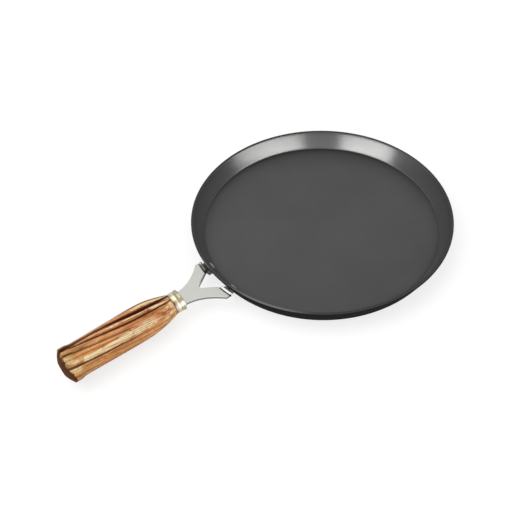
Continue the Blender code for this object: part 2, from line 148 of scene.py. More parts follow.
def bell(value, middle, half, power=2):
    """e^-((v - middle) / half)^power: 1 at the middle, and with power 4 nearly flat about it."""
    return np.exp(-((value - middle) / half) ** power)


print("ease at a quarter of its way:", ease(0.25), "and bell at its half:", round(bell(1, 0, 1), 3))

# %% [markdown]
# ## The pan
# The real pan is one disc of sheet, pressed so that the floor turns up into a flared wall. Its rim
# is rounded where the sheet was trimmed. It could be pulled up from a disc and bevelled. One
# profile, turned about the upright axis, was chosen: its lines and bends take their sizes straight
# from the solid model, and close rings of points in the bends keep the reflections smooth. Only the
# crease inside is tighter than in the solid model, because the real one looks sharper.

# %% The pan's sizes
rim_radius = 0.130
rim_height = 0.02125
rim_round = 0.0013
sheet = 0.00325
flare = np.radians(24)
inner_fillet = 0.0015
outer_fillet = 0.004 + sheet
half_turn = np.tan((quarter - flare) / 2)
wall_top = rim_radius + rim_round * (1 / half_turn - 1)


def wall_outer(height):
    """The straight outer wall: its radius grows by tan(flare) for each unit of height."""
    return wall_top - (rim_height - height) * np.tan(flare)


def wall_inner(height):
    """The inner wall: the sheet's thickness, measured level, inside the outer wall."""
    return wall_outer(height) - sheet / np.cos(flare)


print("the outer wall's radius is", round(wall_outer(0) * 1000, 2), "mm at its foot")

# %% The pan's profile
inner_bend = bend(
    (wall_inner(sheet) - inner_fillet * half_turn, sheet + inner_fillet),
    inner_fillet, -quarter, -flare, 12,
)
rim_inner = bend(
    (wall_inner(rim_height) + rim_round * half_turn, rim_height - rim_round),
    rim_round, np.pi - flare, quarter, 8,
)
rim_outer = bend((rim_radius - rim_round, rim_height - rim_round), rim_round, quarter, -flare, 10)
outer_bend = bend(
    (wall_outer(0) - outer_fillet * half_turn, outer_fillet), outer_fillet, -flare, -quarter, 14
)
close_rings_from = 0.100
floor_radii = np.concatenate([
    np.linspace(0, close_rings_from, 21),
    np.linspace(close_rings_from, inner_bend[0, 0], 26)[1:-1],
])
floor_points = np.stack([floor_radii, 0 * floor_radii + sheet], -1)
wall_points = run(inner_bend[-1], rim_inner[0], 10)
pan_profile = np.concatenate([
    floor_points, inner_bend, wall_points, rim_inner, rim_outer,
    run(rim_outer[-1], outer_bend[0], 8), outer_bend, run(outer_bend[-1], (0, 0), 20), [[0, 0]],
])
print("the pan's profile has", len(pan_profile), "points")

# %% [markdown]
# The pan carries marks of painted light and shade. Its wall is smoother than its floor, and paler:
# the paler grey is painted light, for the light from the sides, and the wall has painted shade
# towards its top and in its bend into the floor. Its rim has a painted highlight at one place
# beside the handle and painted shade elsewhere, the outer wall has painted shade with painted light
# at the bracket's pad towards +Y, and the crease of floor and wall has painted shade, mostly on one
# side.
# Such marks could be painted on by hand. Each is worked out here as a curve along the profile times
# a curve round the pan, and kept as numbers for the finish, because that is changed easily and
# comes out the same each time.

# %% What each point of the pan knows
# The curves' measures are degrees round the pan, rings from the rim, or metres from the crease
pan_columns = 360
pan_angle = round_angles(pan_columns)
from_handle = np.degrees(pan_angle) - 180
dark_side = 56
from_dark_side = (np.degrees(pan_angle) - dark_side + 180) % 360 - 180
rings = np.arange(len(pan_profile))[:, None]
bend_start = len(floor_points)
wall_start = bend_start + len(inner_bend)
rim_start = wall_start + len(wall_points)
steps = np.linalg.norm(np.diff(pan_profile, axis=0, prepend=pan_profile[:1]), axis=1)
length = np.cumsum(steps)[:, None]

wall = rising(rings, bend_start, len(inner_bend))
climb = rising(rings, wall_start, len(wall_points))
outside = rising(rings, rim_start + len(rim_inner) + 1, 3)
rim_highlight_side = bell(from_handle, 27, 15, 4)
lip = bell(rings, rim_start + 5, 4) * rim_highlight_side
sooty = bell(rings, rim_start + 6, 6, 4) * (1 - rim_highlight_side)
worn_back = bell(from_handle, -8, 4, 4) * outside
from_crease = length - length[bend_start]
crease = np.exp(-np.abs(from_crease) / np.where(from_crease < 0, 0.0026, 0.0007))
crease = crease * (0.3 + 0.7 * bell(from_dark_side, 0, 60, 4))
fold = bell(from_crease, 0.0007, 0.0007, 4)
print("from the middle to the crease is", round(float(length[bend_start, 0]) * 1000, 1), "mm")

# %% The pan's surface
turning_radius = 0.02


def turned_upright(profile, columns):
    """Point (radius r, height z) at angle a lands on (r cos a, r sin a, z)."""
    angle = round_angles(columns)
    radius, height = profile[:, :1], profile[:, 1:]
    return np.stack([radius * np.cos(angle), radius * np.sin(angle), height + 0 * angle], -1)


# Coordinates for marks that run round the pan: a circle of one size, and the length of the profile
turning = np.stack(np.broadcast_arrays(
    turning_radius * np.cos(pan_angle), turning_radius * np.sin(pan_angle), length
), -1)
pan = skin(
    "pan_surface", turned_upright(pan_profile, pan_columns), turning=turning, wall=wall,
    climb=climb, outside=outside, lip=lip, sooty=sooty, worn_back=worn_back, crease=crease,
    fold=fold,
)

# %% [markdown]
# ## The rivets
# Each rivet is a solid pin that stands square to the sloping wall: a low domed head inside the pan,
# and a smaller formed end on the bracket's pad. It could be a cylinder with two squashed spheres. A
# turned profile laid along the wall's normal was chosen, because it closes into one surface whose
# heads rest on both faces.

# %% The rivets' profile
fit = 0.0003
pad = 0.0042
shank, head, formed_end = 0.0024, 0.0040, 0.0032
dome_rise = 0.0008
dome_edge = 0.0004
head_chamfer, end_chamfer = 0.00015, 0.0001


def dome(radius, height, base, way, count=14):
    """A slice of a sphere: its own radius is (radius^2 + height^2) / (2 height)."""
    sphere = (radius**2 + height**2) / (2 * height)
    turn = np.linspace(np.arcsin(radius / sphere), 0, count)
    raised = height - sphere + sphere * np.cos(turn)
    return np.stack([sphere * np.sin(turn), base + way * raised], -1)


back_face = sheet + 2 * fit + pad
rivet_profile = np.concatenate([
    dome(head, dome_rise, -fit - dome_edge, -1)[::-1],
    [[head, -fit - dome_edge / 2], [head - head_chamfer, -fit], [shank, -fit]],
    [[shank, back_face], [formed_end - end_chamfer, back_face]],
    dome(formed_end, dome_rise, back_face + dome_edge, 1),
])
behind = (rivet_profile[:, 1:] > sheet) * 1.0
print("each rivet is", round(float(np.ptp(rivet_profile[:, 1])) * 1000, 2), "mm long")

# %% The rivets' surfaces
rivet_columns = 64
rivet_up = 0.0118
rivet_aside = 0.0176
rivet_turn = np.arcsin(rivet_aside / wall_outer(rivet_up))


def laid_along(profile, columns, start, way):
    """Point (radius r, distance d) goes d along the unit vector way from start, and r out from
    that line."""
    way = np.asarray(way) / np.linalg.norm(way)
    across = np.cross(way, [0, 0, 1])
    across /= np.linalg.norm(across)
    angle = round_angles(columns)[:, None]
    out = np.cos(angle) * across + np.sin(angle) * np.cross(way, across)
    return np.asarray(start) + profile[:, 1, None, None] * way + profile[:, 0, None, None] * out


rivets = []
for name, side in (("rivet_left", 1), ("rivet_right", -1)):
    turn = np.pi + side * rivet_turn
    outward = np.array([np.cos(turn), np.sin(turn), 0])
    normal = outward * np.cos(flare) - np.array([0, 0, np.sin(flare)])
    place = outward * wall_inner(rivet_up) + np.array([0, 0, rivet_up])
    rivet_grid = laid_along(rivet_profile, rivet_columns, place, normal)
    rivet = skin(name + "_surface", rivet_grid, behind=behind)
    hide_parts(name)
    rivets.append(rivet)
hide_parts("pan")

# %% [markdown]
# ## Along the handle
# The bracket, collar and grip lie on one line that leaves the wall and rises a little. An empty
# could be tilted and hold them, but every finished piece here has its place in its mesh, so that
# its object stays at the origin, unturned. So a point is given by its distance along the line, its
# distance to the side and its height over it, and one function turns that into the pan's axes.

# %% From handle measures to the pan's
axis_height = 0.0147
rise = np.radians(1.7)
pad_face = wall_outer(axis_height) + (fit + pad) / np.cos(flare)


def on_handle(along, side, up):
    """Turns (along, side, up) by the handle's rise, from the middle of the pads' outer face."""
    x = -pad_face - along * np.cos(rise) + up * np.sin(rise)
    z = axis_height + along * np.sin(rise) + up * np.cos(rise)
    return np.stack(np.broadcast_arrays(x, -side, z), -1)


def round_handle(profile, columns, oval=1.0):
    """Point (radius r, distance x) at angle a goes r sin a to the side and oval r cos a up."""
    angle = round_angles(columns)
    radius, along = profile[:, :1], profile[:, 1:]
    return on_handle(along, radius * np.sin(angle), oval * radius * np.cos(angle))


print("the handle starts", round(pad_face * 1000, 2), "mm from the pan's middle")

# %% [markdown]
# ## The collar
# A thin polished collar covers the joint between the neck and the wood. It is an oval, a little
# wider than it is high, with a rolled flange towards the pan and a raised bead half-way along. It
# could be a cylinder with loops pulled out for the bead. It is turned from a profile and squashed,
# because the wood behind it follows the same oval and has to meet it.

# %% The collar's profile
fork_reach = 0.0361
collar_length = 0.0096
collar_radius = 0.0105
collar_wall = 0.0009
inner_radius = collar_radius - collar_wall
front_wall = 0.0012
corner = 0.0002
flange_roll = 0.0007
bead_rise, bead_half = 0.00045, 0.0009
neck_oval = 0.84
front, rear = fork_reach, fork_reach + collar_length
bead_middle = front + 0.55 * collar_length

bead_turn = np.linspace(quarter, -quarter, 9)
bead_points = np.stack([
    collar_radius + bead_rise * np.cos(bead_turn), bead_middle + bead_half * np.sin(bead_turn),
], -1)
flange_points = bend((collar_radius, front + flange_roll), flange_roll, quarter, -quarter, 11)
collar_profile = np.concatenate([
    [[0, front + front_wall], [inner_radius, front + front_wall], [inner_radius, rear]],
    [[collar_radius - corner, rear], [collar_radius, rear - corner]],
    bead_points, flange_points, [[0, front]],
])
print("the collar runs from", round(front * 1000, 1), "to", round(rear * 1000, 1), "mm")

# %% The collar's painted light and surface
# Degrees round the collar, from the top towards -Y, and shares of its length from the front
collar_columns = 128
collar_turn = (np.degrees(round_angles(collar_columns)) + 180) % 360 - 180
to_rear = rising(collar_profile[:, 1:], front, collar_length)
# Painted highlight bands on the collar
rubbed = bell(collar_turn, 60, 16, 4) + 0.6 * bell(to_rear, 0.74, 0.2, 4)
# Brown painted reflection of the wood, and painted shade near the flange
smudge = bell(collar_turn, 36, 12) * bell(to_rear, 1.0, 0.16)
smudge = smudge + bell(collar_turn, 70, 7) * bell(to_rear, 0.28, 0.14)
smudge = smudge + 0.6 * bell(to_rear, 1.0, 0.06)
collar = skin(
    "collar_surface", round_handle(collar_profile, collar_columns, neck_oval),
    rubbed=np.clip(rubbed, 0, 1), smudge=np.clip(smudge, 0, 1),
)
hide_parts("ferrule")

# %% [markdown]
# ## The grip
# The grip was turned and then carved. Fourteen hollows run from its rear end towards the neck, and
# each follows its own slowly twisting line. It could be sculpted, or carved with a curve for each
# hollow. Here the outline is a smooth curve of radius against distance, and the hollows are taken
# away from it by a formula, because then each hollow's line, width and depth stay a few numbers.

# %% The grip's outline
grip_length = 0.1094
grip_start = rear + fit
grip_end = grip_start + grip_length
dome_height = 0.0054
dome_start = grip_end - dome_height
waist = dome_start - 0.0108
belly = grip_start + 0.35 * grip_length
end_spread = 0.0054
neck_radius, belly_radius, waist_radius = 0.0108, 0.0161, 0.0152


def grip_radius(x):
    """From the neck to the belly it swells by 1 - (1 - s)^2.5. From there it eases in to the
    waist, and out again to the rear end."""
    swell = 1 - (1 - rising(x, grip_start, belly - grip_start)) ** 2.5
    to_belly = neck_radius + (belly_radius - neck_radius) * swell
    to_waist = belly_radius + (waist_radius - belly_radius) * ease((x - belly) / (waist - belly))
    to_end = waist_radius + (belly_radius - waist_radius) * ease((x - waist) / end_spread)
    return np.where(x < belly, to_belly, np.where(x < waist, to_waist, to_end))


def to_neck(x):
    """0 at the rear end's shoulder and 1 at the neck, and on in a straight line past both."""
    return (dome_start - x) / (dome_start - grip_start)


print("the grip is", round(grip_length * 1000, 1), "mm long and", belly_radius * 2000, "mm thick")

# %% Where the hollows run
# Each hollow's angle about the handle, in degrees from the top towards -Y, at four shares of the
# length from the rear end. Then the share of the length that it runs, its half width in degrees,
# its depth at the neck as a share of that at the rear, how dark its colour is, how wide the dark
# colour spreads, and by how many degrees the dark colour has moved aside at the rear.
places = np.array([0.0, 0.4, 0.75, 1.0])
hollows = np.array([
    (-38, -22, -1, -22, 1.00, 9.0, 1.6, 1.00, 1.40, 12),
    (-18, 7, 20, 8, 1.00, 7.0, 1.2, 0.76, 0.85, 1),
    (4, 29, 42, 44, 0.50, 7.0, 1.0, 0.52, 1.00, 0),
    (26, 41, 56, 60, 0.42, 6.0, 1.0, 0.34, 0.95, 0),
    (44, 66, 76, 78, 0.60, 7.0, 1.0, 0.66, 0.26, 6),
    (66, 84, 96, 100, 0.70, 6.5, 0.8, 0.44, 0.60, -2),
    (92, 108, 122, 128, 0.94, 8.5, 1.0, 0.42, 1.00, 0),
    (120, 136, 150, 155, 1.00, 8.5, 0.9, 0.60, 1.05, 0),
    (148, 164, 179, 182, 1.00, 8.5, 1.1, 0.72, 1.15, 0),
    (176, 192, 208, 209, 0.96, 8.5, 1.0, 0.62, 1.10, 0),
    (204, 220, 236, 236, 1.00, 8.5, 1.0, 0.72, 1.15, 0),
    (232, 248, 265, 264, 0.92, 8.5, 0.9, 0.60, 1.10, 0),
    (260, 276, 293, 291, 1.00, 8.5, 1.1, 0.78, 1.15, 0),
    (288, 304, 322, 318, 1.00, 8.5, 1.0, 0.75, 1.50, 12),
])


def through_places(t, degrees):
    """The cubic through each row's four angles: every angle times its own Lagrange product."""
    weights = [np.prod([(t - q) / (p - q) for q in places if q != p], axis=0) for p in places]
    return np.radians(np.stack(weights, -1) @ degrees[:, :4].T)


turned = hollows[:, 3] - hollows[:, 0]
print(len(hollows), "hollows, each turning by", turned.min(), "to", turned.max(), "degrees")

# %% How deep and how stained they are
hollow_depth, deepens_over = 0.0013, 0.016
# Shares of the length: a hollow that stops short ends over the first, and a dark colour that has
# moved aside comes back to its line over the second. Then the most that a hollow takes of the way
# to the next one, and how much wider a dark colour is for each part that it has moved aside.
ends_over, settles_over, widest_share, aside_widens = 0.15, 0.6, 0.42, 0.7


def apart(angle, middle):
    """How far each angle is from each middle, the short way round."""
    return np.abs((angle[None, :, None] - middle[:, None, :] + np.pi) % (2 * np.pi) - np.pi)


def dip(away, half):
    """(1 - (d / half)^2)^2 at the angle d from a middle, and 0 from half on."""
    return np.clip(1 - (away / half[:, None, :]) ** 2, 0, 1) ** 2


def carved(x, angle):
    """The depth and the darkness at every distance x and angle. A hollow is a dip about its line,
    no wider than a share of the way to its neighbours. It deepens over a short way behind the neck,
    and one that doesn't run the whole length ends sooner. Where two meet, depths add and the
    darker colour holds."""
    t = np.clip(to_neck(x), 0, 1)[:, None]
    reach, widest, at_neck, dark, spread, aside = hollows[:, 4:].T
    widest = np.radians(widest)
    aside = np.radians(aside) * (1 - ease(t / settles_over))
    middle = through_places(t[:, 0], hollows)
    gap = np.diff(np.concatenate([middle, middle[:, :1] + 2 * np.pi], 1), axis=1)
    half = np.minimum(widest, widest_share * np.minimum(gap, np.roll(gap, 1, 1)))
    running = np.where(reach < 1, 1 - ease((t - reach) / ends_over), 1)
    depth = hollow_depth * running * (1 + (at_neck - 1) * ease(t)) * half / widest
    depth = depth * ease((x[:, None] - grip_start) / deepens_over)
    dark_half = half * spread + aside_widens * aside
    depths = dip(apart(angle, middle), half) * depth[:, None, :]
    hollow_darks = dip(apart(angle, middle + aside), dark_half) * (running * dark)[:, None, :]
    return depths.sum(2), hollow_darks.max(2)


print("a hollow of full width is", hollow_depth * 1000, "mm deep at the rear")

# %% The grip's shape
grip_columns = 480
grip_angle = round_angles(grip_columns)
edge_round = 0.001
end_radius = belly_radius - edge_round
crown_back = 0.00005
sink_radius, sink_depth = 0.0066, 0.0100
bore_radius, mouth_radius = 0.0028, 0.0104

first_rows = np.array([0.0004, 0.0007, 0.0011, 0.0016])
body = np.concatenate([
    grip_start + first_rows[:-1], np.linspace(grip_start + first_rows[-1], waist, 120),
    np.linspace(waist, dome_start - edge_round, 22)[1:],
])
edge = bend((end_radius, dome_start - edge_round), edge_round, 0, quarter - 0.35, 6)[1:]
crown = np.linspace(1, 0.44, 16)
crown_radius = end_radius * crown + (edge[-1, 0] - end_radius) * crown**8
crown_along = dome_start + dome_height * (1 - crown**2) - crown_back
radius = np.concatenate([grip_radius(body), edge[:, 0], crown_radius])
along = np.concatenate([body, edge[:, 1], crown_along])

round_after = 0.25 * grip_length
oval = neck_oval + (1 - neck_oval) * ease((along - grip_start) / round_after)
depth, hollow_dark = carved(along, grip_angle)
# The hollows fade out on the crown, from its edge inwards
fade = np.concatenate([np.ones(len(body) + len(edge)), ease(2 * crown - 0.9)])[:, None]
radial = radius[:, None] - depth * fade
outer_rows = on_handle(
    along[:, None], radial * np.sin(grip_angle), oval[:, None] * radial * np.cos(grip_angle)
)
# The rows that close the surface: down the sunk hole, along the bore and over the front face
seat, bore_row = grip_end - sink_depth, grip_start + 0.03
closing = np.array([
    (sink_radius, along[-1]), (sink_radius, seat), (bore_radius, seat),
    (bore_radius, bore_row), (bore_radius, grip_start), (mouth_radius, grip_start),
])
closing_rows = round_handle(closing, grip_columns)
closing_rows[-1] = round_handle(closing[-1:], grip_columns, neck_oval)[0]
print("at most", round(float(depth.max()) * 1000, 2), "mm of wood is carved away")

# %% [markdown]
# Hands have worn some ridges pale and left others dark. Some pale patches are painted light
# instead:
# painted highlights on the ridges round 50 degrees and over the top near the neck, and painted
# light on the lower side, which faces away from the lamp above. Worn places could be masked from
# how sharp the surface is, but that would treat all ridges alike. Each patch follows a line of its
# own, as the hollows do, because on the real grip each ridge is worn along another part of its
# length.

# %% The grip's worn patches and painted light
# Each patch's angle at the same four places, where it starts and ends as shares of the length from
# the rear end, how softly, its half width in degrees, and how much cream, gold and olive it brings
# The cream rows round 50 degrees, and those over the top near the neck, are painted highlights; the
# broad gold row on the lower side is painted light
patches = np.array([
    (48, 53, 53, 53, 0.13, 0.54, 0.05, 10, 1.0, 0.0, 0.0),
    (36, 53, 53, 53, 0.02, 0.20, 0.08, 8, 0.50, 0.3, 0.2),
    (46, 51, 52, 52, 0.46, 0.80, 0.10, 15, 0.66, 0.0, 0.0),
    (26, 35, 44, 50, 0.03, 0.50, 0.10, 8, 0.1, 0.9, 0.0),
    (-24, -3, 9, 6, 0.36, 0.97, 0.12, 3, 0.60, 0.0, 0.0),
    (-24, -3, 10, 7, 0.80, 0.98, 0.06, 5, 0.9, 0.0, 0.0),
    (-60, -45, -24, -36, 0.66, 1.00, 0.14, 14, 0.8, 0.0, 0.35),
    (-28, -14, 2, 0, 0.02, 0.34, 0.10, 5, 0.45, 0.2, 0.0),
    (22, 50, 60, 60, -0.20, 0.07, 0.05, 13, 0.45, 0.3, 0.7),
    (61, 85, 96, 96, -0.20, 0.10, 0.06, 8, 0.70, 0.2, 0.0),
    (-8, 18, 31, 26, 0.05, 0.45, 0.15, 6, 0.25, 0.1, 0.5),
    (8, 18, 30, 30, 0.92, 1.00, 0.05, 14, 0.6, 0.1, 0.0),
    (50, 60, 66, 64, 0.84, 1.00, 0.08, 14, 0.55, 0.2, 0.0),
    (74, 86, 92, 92, -0.20, 1.20, 0.10, 23, 0.0, 0.5, 0.1),
    (76, 92, 104, 104, 0.86, 1.00, 0.08, 12, 0.45, 0.0, 0.0),
    (190, 206, 222, 222, 0.20, 0.80, 0.16, 8, 0.6, 0.3, 0.0),
    (246, 262, 279, 278, 0.30, 0.95, 0.16, 8, 0.6, 0.3, 0.1),
])
share = to_neck(along)
held_share = np.clip(share, 0, 1)
starts, ends, soft = patches[:, 4], patches[:, 5], patches[:, 6]
begun = ease((share[:, None] - starts) / soft + 0.5)
done = ease((share[:, None] - ends) / soft + 0.5)
middles = through_places(held_share, patches)
beside = bell(apart(grip_angle, middles), 0, np.radians(patches[:, 7]), 4)
weight = (begun * (1 - done))[:, None, :] * beside
# Worn patches and painted light together, as cream, gold and olive
wear = 1 - np.prod(1 - weight[..., None] * patches[:, 8:11], axis=2)
print("cream, gold and olive cover", np.round(wear.mean((0, 1)), 3), "of the grip")

# %% The grip's surface
end_colour_beyond = 0.006
grain_turn = np.radians(34)
# The end's painted shade reaches a little way along the side towards -Y
creep = 0.0022 * bell(np.degrees(grip_angle), 96, 34, 4)
# Coordinates for the grain: the wood as it lay before the carving twisted it
straight = grip_angle[None, :] - grain_turn * held_share[:, None]
fibre = np.stack(np.broadcast_arrays(
    along[:, None], radial * np.sin(straight), radial * np.cos(straight)
), -1)


def and_closing(values, fill):
    """Adds the closing rows, which share one plain value."""
    shape = (len(closing), grip_columns) + values.shape[2:]
    return np.concatenate([values, np.broadcast_to(fill, shape)])


grip = skin(
    "grip_surface", np.concatenate([outer_rows, closing_rows]), ring=True,
    fibre=and_closing(fibre, fibre[-1:]), groove=and_closing(hollow_dark * fade, 0.0),
    past_end=and_closing((along - dome_start)[:, None] + creep, end_colour_beyond),
    wear=and_closing(wear, 0.0), to_neck=and_closing(held_share[:, None] + 0 * hollow_dark, 0.0),
)
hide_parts("grip")

# %% [markdown]
# ## Finishes
# A finish is a tree of shader nodes. It could be drawn in the node editor. Here it is written, so
# that it can be read and changed as text. A small class wraps a socket, and its + - * ** and abs()
# each add a Math node. Any other node comes from one method, which takes the node's type, its
# settings, and the values or links of its sockets.

# %% Shader sums as Python


class Value:
    """One output socket of a tree of nodes."""

    def __init__(self, nodes, socket):
        self.nodes = nodes
        self.socket = socket

    def math(self, operation, *numbers):
        """A Math node on these numbers or links."""
        return self.nodes.node("ShaderNodeMath", {"operation": operation}, dict(enumerate(numbers)))

    def __add__(self, other):
        return self.math("ADD", self, other)

    def __mul__(self, other):
        return self.math("MULTIPLY", self, other)

    def __sub__(self, other):
        return self.math("SUBTRACT", self, other)

    def __rsub__(self, other):
        return self.math("SUBTRACT", other, self)

    def __pow__(self, other):
        return self.math("POWER", self, other)

    def __abs__(self):
        return self.math("ABSOLUTE", self)

    __radd__ = __add__
    __rmul__ = __mul__

    def between(self, low, high):
        """0 at low, 1 at high, and smooth between, held at both ends."""
        settings = {"interpolation_type": "SMOOTHSTEP"}
        values = {"Value": self, "From Min": low, "From Max": high}
        return self.nodes.node("ShaderNodeMapRange", settings, values)


print("sums that add nodes: + - * ** abs")

# %% A tree of nodes


class Nodes:
    """A tree of shader nodes, and the method that adds any node to it."""

    def __init__(self, tree):
        self.tree = tree

    def node(self, kind, settings=None, values=None, output=0):
        """A new node with its settings, then its sockets' values. Gives back one output."""
        node = self.tree.nodes.new(kind)
        for label, setting in (settings or {}).items():
            if label == "stops":
                fill_ramp(node.color_ramp, setting)
            else:
                setattr(node, label, setting)
        for label, value in (values or {}).items():
            self.plug(node.inputs[label], value)
        return Value(self, node.outputs[output])

    def plug(self, socket, value):
        """Links a Value to a socket, or writes a plain value into it."""
        if isinstance(value, Value):
            self.tree.links.new(value.socket, socket)
        else:
            socket.default_value = value


def fill_ramp(ramp, stops):
    """Gives a colour ramp its stops, as (place, colour)."""
    while len(ramp.elements) < len(stops):
        ramp.elements.new(0.5)
    for element, (place, colour) in zip(ramp.elements, stops):
        element.position = place
        element.color = colour


def paint(red, green, blue):
    """A colour as a screen shows it, 0 to 255, as amounts of light: c / 12.92 near black, and
    ((c + 0.055) / 1.055)^2.4 above."""
    value = np.array([red, green, blue]) / 255
    linear = np.where(value <= 0.04045, value / 12.92, ((value + 0.055) / 1.055) ** 2.4)
    return (*[float(v) for v in linear], 1.0)


print("a middle grey as light:", np.round(paint(128, 128, 128), 3))

# %% A finish


class Finish(Nodes):
    """A material of one principled shader, with the nodes that a finish is made of."""

    def __init__(self, name, **constants):
        self.material = bpy.data.materials.new(name)
        self.material.use_nodes = True
        super().__init__(self.material.node_tree)
        self.shader = self.tree.nodes["Principled BSDF"]
        self.set(**constants)

    def set(self, **values):
        """Plugs values into the shader's sockets. Base_Color means Base Color."""
        for label, value in values.items():
            self.plug(self.shader.inputs[label.replace("_", " ")], value)

    def noise(self, source, stretch, detail, rough):
        """Soft noise, finer by one factor for each axis."""
        settings = {"operation": "MULTIPLY"}
        place = self.node("ShaderNodeVectorMath", settings, {0: source, 1: stretch})
        values = {"Vector": place, "Scale": 1.0, "Detail": detail, "Roughness": rough}
        return self.node("ShaderNodeTexNoise", None, values)

    def mix(self, factor, first, second):
        """One colour over another. A Mix node keeps its colours in sockets 6 and 7 and output 2."""
        values = {0: factor, 6: first, 7: second}
        return self.node("ShaderNodeMix", {"data_type": "RGBA"}, values, output=2)

    def bump(self, height, strength, distance):
        """A normal that leans as if the surface were raised by height."""
        values = {"Height": height, "Strength": strength, "Distance": distance}
        return self.node("ShaderNodeBump", None, values)

    def split(self, source):
        """The three numbers of a vector."""
        first = self.node("ShaderNodeSeparateXYZ", None, {0: source})
        return [Value(self, output) for output in first.socket.node.outputs]

    def coordinates(self, kind="Object"):
        return self.node("ShaderNodeTexCoord", output=kind)

    def number(self, label):
        """A number that the surface carries."""
        return self.node("ShaderNodeAttribute", {"attribute_name": label}, output="Fac")

    def vector(self, label):
        """A vector that the surface carries."""
        return self.node("ShaderNodeAttribute", {"attribute_name": label}, output="Vector")


def dress(piece, finish):
    """Makes a finish the only one of a piece."""
    piece.data.materials.clear()
    piece.data.materials.append(finish.material)
    print(piece.name, "wears", finish.material.name)


# %% [markdown]
# ## Anodised aluminium
# Hard anodising grows a dark grey, slightly rough skin on the metal. It is neither paint nor bare
# metal. It could be a plain grey of one roughness, which looks like plastic. So the finish is half
# metallic, with a fine grain that blurs its reflections, a faint cloudiness, fine lines round the
# pan, and the marks that the surface carries.

# %% The pan's finish
anodised = Finish("hard_anodised_aluminium", Specular_IOR_Level=0.0)
on_wall, climb, outside, lip, sooty, worn_back, crease, fold = (
    anodised.number(label)
    for label in ("wall", "climb", "outside", "lip", "sooty", "worn_back", "crease", "fold")
)
cloud = anodised.noise(anodised.coordinates(), (16, 16, 16), 4.0, 0.55)
grain = anodised.noise(anodised.coordinates(), (2600, 2600, 2600), 2.0, 0.5)
lines = anodised.noise(anodised.vector("turning"), (60, 60, 2600), 2.0, 0.6)
tone = anodised.mix(cloud.between(0.3, 0.7), paint(84, 84, 85), paint(88, 88, 88))
# Painted light: the wall's paler grey stands in for the light from the sides
tone = anodised.mix(on_wall * 0.9, tone, paint(120, 120, 119))
# Painted shade: the wall is darker towards its top
tone = anodised.mix(climb * 0.35, tone, paint(72, 72, 72))
tone = anodised.mix(grain.between(0.3, 0.75) * 0.25, tone, paint(70, 70, 72))
# Painted shade on the bend between floor and wall
tone = anodised.mix(fold * 0.65, tone, paint(62, 62, 62))
# Painted shade in the crease of floor and wall, strongest on one side
tone = anodised.mix(crease * 0.72, tone, paint(38, 38, 39))
# A painted highlight on the rim beside the handle
tone = anodised.mix(lip * 0.6, tone, paint(116, 116, 114))
# Painted shade on the rest of the rim
tone = anodised.mix(sooty * 0.8, tone, paint(52, 52, 52))
# The outside is near-black: painted shade over the dark anodising, with painted light on the wall
# at the pad towards +Y
back_tone = anodised.mix(worn_back, paint(38, 37, 36), paint(120, 119, 116))
anodised.set(
    Base_Color=anodised.mix(outside, tone, back_tone),
    Metallic=0.55 - 0.49 * outside,
    Roughness=0.38 - 0.23 * on_wall * (1.0 - outside) + 0.25 * fold + 0.10 * lines,
    Normal=anodised.bump(lines * 0.5 + grain * 0.5, 0.10, 0.0003),
)
dress(pan, anodised)

# %% [markdown]
# ## Steel
# The bracket is stainless steel with a satin face: fine scratches from a belt run along it, which
# dull its reflections and stretch them. The collar and rivets are smoother. Scratches could be
# modelled or drawn one by one. Noise that is stretched along one axis does for all of them, so one
# function makes every steel from its two tones, its roughness and its scratches.

# %% The steel finishes


def steel(name, light, dark, rough, stretch, scratch):
    """Metal between two tones. Its scratches are noise times stretch on each axis."""
    made = Finish(name, Metallic=1.0)
    lines = made.noise(made.coordinates(), stretch, 2.0, 0.6)
    made.cloud = made.noise(made.coordinates(), (60, 60, 60), 3.0, 0.5)
    made.tone = made.mix(lines * 0.5 + made.cloud * 0.5, paint(*dark), paint(*light))
    made.set(
        Base_Color=made.tone,
        Roughness=rough + 0.10 * lines + 0.05 * made.cloud,
        Normal=made.bump(lines, scratch, 0.0002),
    )
    print(name, "from", dark, "to", light)
    return made


satin = steel("satin_steel", (198, 198, 193), (185, 185, 180), 0.32, (90, 2400, 2400), 0.12)
polished = steel("polished_steel", (250, 244, 226), (234, 222, 194), 0.18, (300, 300, 300), 0.03)
rivet_steel = steel("rivet_steel", (196, 196, 193), (170, 170, 168), 0.34, (800, 800, 800), 0.08)
zinc = steel("zinc_steel", (200, 202, 206), (170, 172, 178), 0.25, (900, 900, 900), 0.06)

# %% [markdown]
# The bracket was cut from plate by shearing. Its upright edges are painted darker than its face, as
# painted shade. The bend in front of each pad has painted shade, one pad has a painted highlight
# and the other painted shade, and the inner edge of the shaded pad's arm has painted shade too.
# These places could be picked face by face, but the bracket keeps the solid model's mesh. So they
# are
# found by measures of the place itself: the way the surface faces, and its distance from the pan's
# wall and from the fork's inner edge.

# %% The bracket's edges and pads
fork_inside, fork_slope = 0.0163, np.radians(35)
x, y, z = satin.split(satin.coordinates())
# Painted shade: upright faces, the plate's edges, are darker than its face
painted_edge_shade = 1.0 - abs(satin.split(satin.coordinates("Normal"))[2]).between(0.35, 0.85)
from_axis = (x * x + y * y) ** 0.5
off_wall = (from_axis - z * np.tan(flare) - wall_outer(0)) * np.cos(flare)
# Painted shade in the bend in front of each pad
painted_bend_shade = off_wall.between(0.0041, 0.0045) * (1.0 - off_wall.between(0.0055, 0.0060))
painted_bend_shade = painted_bend_shade * z.between(0.0139, 0.0143) * (1.0 - z.between(0.0156, 0.0160))
on_pads = 1.0 - off_wall.between(0.0044, 0.0048)
